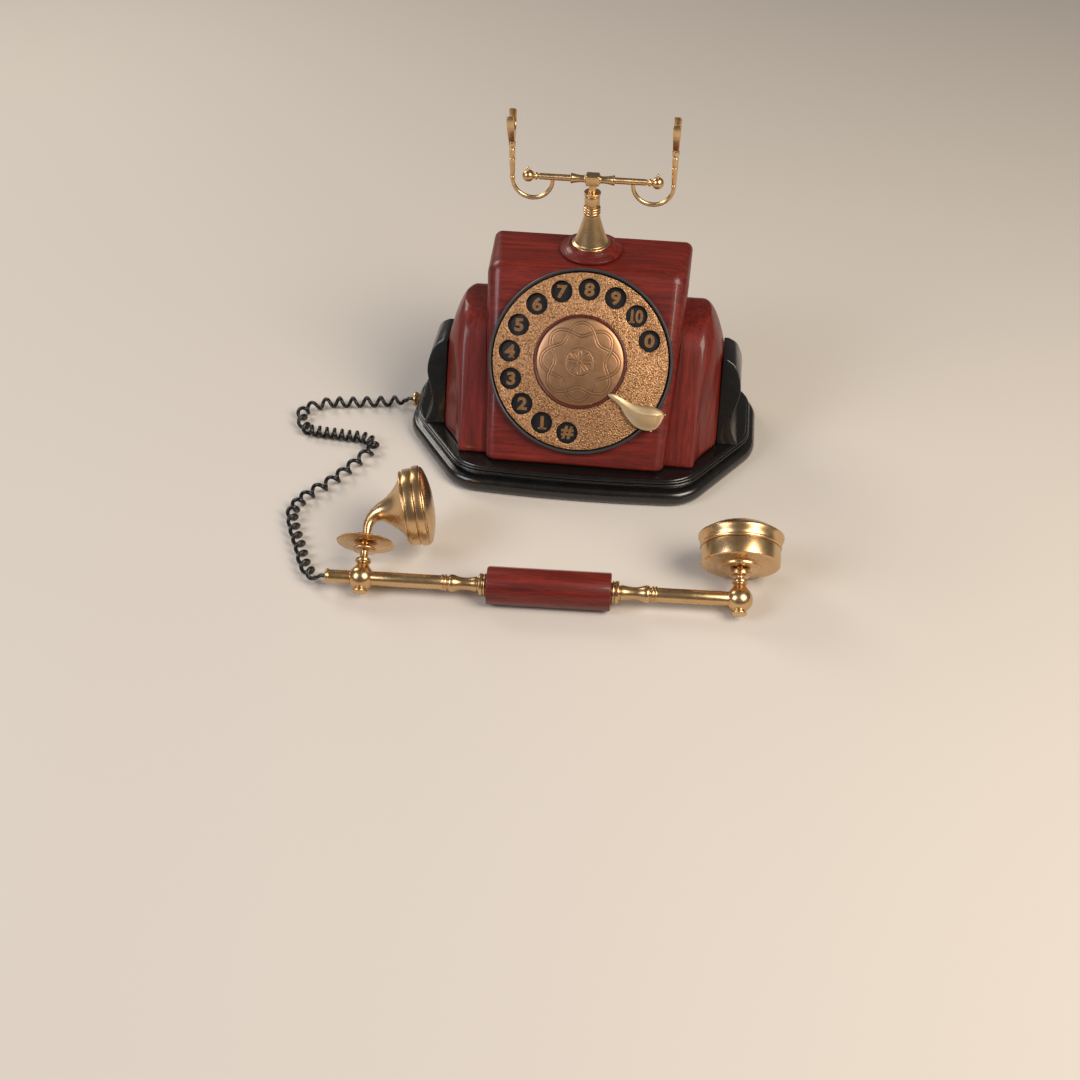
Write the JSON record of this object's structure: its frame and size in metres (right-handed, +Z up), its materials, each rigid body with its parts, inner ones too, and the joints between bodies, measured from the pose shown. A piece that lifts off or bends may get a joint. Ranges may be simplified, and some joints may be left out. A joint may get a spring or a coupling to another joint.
{
  "type": "desk telephone",
  "caption": "Antique-style desk telephone: red wood case on a black plinth, sloped rotary dial, brass fork cradle and a separate brass handset on a curly cord.",
  "frame": {"origin": "middle of the flat underside of the base felt, on the surface that the telephone stands on", "axes": "+Z up, -Y out of the front with the dial, +X to the right seen from the front"},
  "size_m": [0.3143, 0.2635, 0.2038],
  "materials": {
    "felt": "green-black baize",
    "sheet_steel": "plain sheet",
    "black_lacquer": "gloss black lacquer on wood",
    "red_wood": "red mahogany under polished varnish",
    "dark_rim": "dark slate enamel",
    "number_plate": "black with bronze numerals",
    "polished_brass": "polished, lacquered",
    "hammered_copper": "stippled copper gold",
    "red_ring": "dark red, knurled",
    "bronze": "satin bronze",
    "works_brass": "turned",
    "works_steel": "bright",
    "fibre": "dark moulded fibre",
    "copper_wire": "enamelled copper winding",
    "paper_can": "painted can",
    "capsule": "turned capsule",
    "cord_black": "gloss black jacket"
  },
  "bodies": {
    "base": {"base_felt": "felt", "base_plate": "sheet_steel", "plate_screws": "sheet_steel", "plinth": "black_lacquer", "centre_block": "red_wood", "side_block_left": "red_wood", "side_block_right": "red_wood", "cheek_left": "black_lacquer", "cheek_right": "black_lacquer", "dial_pan": "dark_rim", "number_plate": "number_plate", "finger_stop": "polished_brass", "works_frame": "works_brass", "pulse_contacts": "fibre", "rosette": "red_wood", "pedestal": "polished_brass", "hook_bracket": "sheet_steel", "hook_contacts": "fibre", "hook_spring": "works_steel", "ringer_frame": "sheet_steel", "ringer_coils": "copper_wire", "gong_left": "works_brass", "gong_right": "works_brass", "induction_coil": "copper_wire", "capacitor": "paper_can", "terminal_block": "fibre", "line_socket": "fibre", "cord_gland": "polished_brass", "curly_cord": "cord_black"},
    "dial": {"finger_wheel": "hammered_copper", "centre_ring": "red_ring", "centre_disc": "bronze", "dial_shaft": "works_steel", "main_gear": "works_brass", "mainspring": "works_steel"},
    "governor": {"governor_spindle": "works_steel", "pulse_cam": "fibre", "governor_weights": "works_brass"},
    "cradle": {"hook_plunger": "polished_brass", "cradle_bar": "polished_brass", "scrolls": "polished_brass", "forks": "polished_brass"},
    "lever": {"hook_lever": "works_brass"},
    "clapper": {"clapper": "works_steel"},
    "handset": {"grip": "red_wood", "collar_mouth": "polished_brass", "collar_ear": "polished_brass", "tube_mouth": "polished_brass", "tube_ear": "polished_brass", "tee_mouth": "polished_brass", "tee_ear": "polished_brass", "cord_ferrule": "polished_brass", "saucer": "polished_brass", "mouth_horn": "polished_brass", "mouth_bell": "polished_brass", "mouth_cap": "polished_brass", "transmitter": "capsule", "ear_cup": "polished_brass", "ear_cap": "polished_brass", "receiver": "capsule"}
  },
  "joints": [
    {"name": "dial_spin", "type": "hinge", "parent": "base", "child": "dial", "pos_m": [0, -0.0317, 0.07105], "axis": [0, 0.829, -0.5592], "range_deg": [0, 290], "stiffness_Nm_per_rad": 0.004, "springref_deg": -57.3},
    {"name": "governor_spin", "type": "hinge", "parent": "base", "child": "governor", "pos_m": [0.02175, -0.0317, 0.07105], "axis": [0, 0.829, -0.5592], "range_deg": [-1460, 0]},
    {"name": "cradle_hook", "type": "slide", "parent": "base", "child": "cradle", "axis": [0, 0, -1], "range_m": [0, 0.004], "stiffness_N_per_m": 450, "springref_m": -0.005, "deforming": ["hook_spring"]},
    {"name": "hook_lever_tilt", "type": "hinge", "parent": "base", "child": "lever", "pos_m": [0, 0.034, 0.0795], "axis": [1, 0, 0], "range_deg": [0, 20]},
    {"name": "clapper_swing", "type": "hinge", "parent": "base", "child": "clapper", "pos_m": [0, -0.0035, 0.0266], "axis": [0, 0, 1], "range_deg": [-2, 2], "stiffness_Nm_per_rad": 0.002},
    {"name": "handset_lift", "type": "slide", "parent": "base", "child": "handset", "axis": [0, 0, 1], "range_m": [0, 0.15]}
  ],
  "couplings": [
    {"joint": "governor_spin", "follows": "dial_spin", "ratio": -5},
    {"joint": "hook_lever_tilt", "follows": "cradle_hook", "rad_per_m": 82}
  ]
}
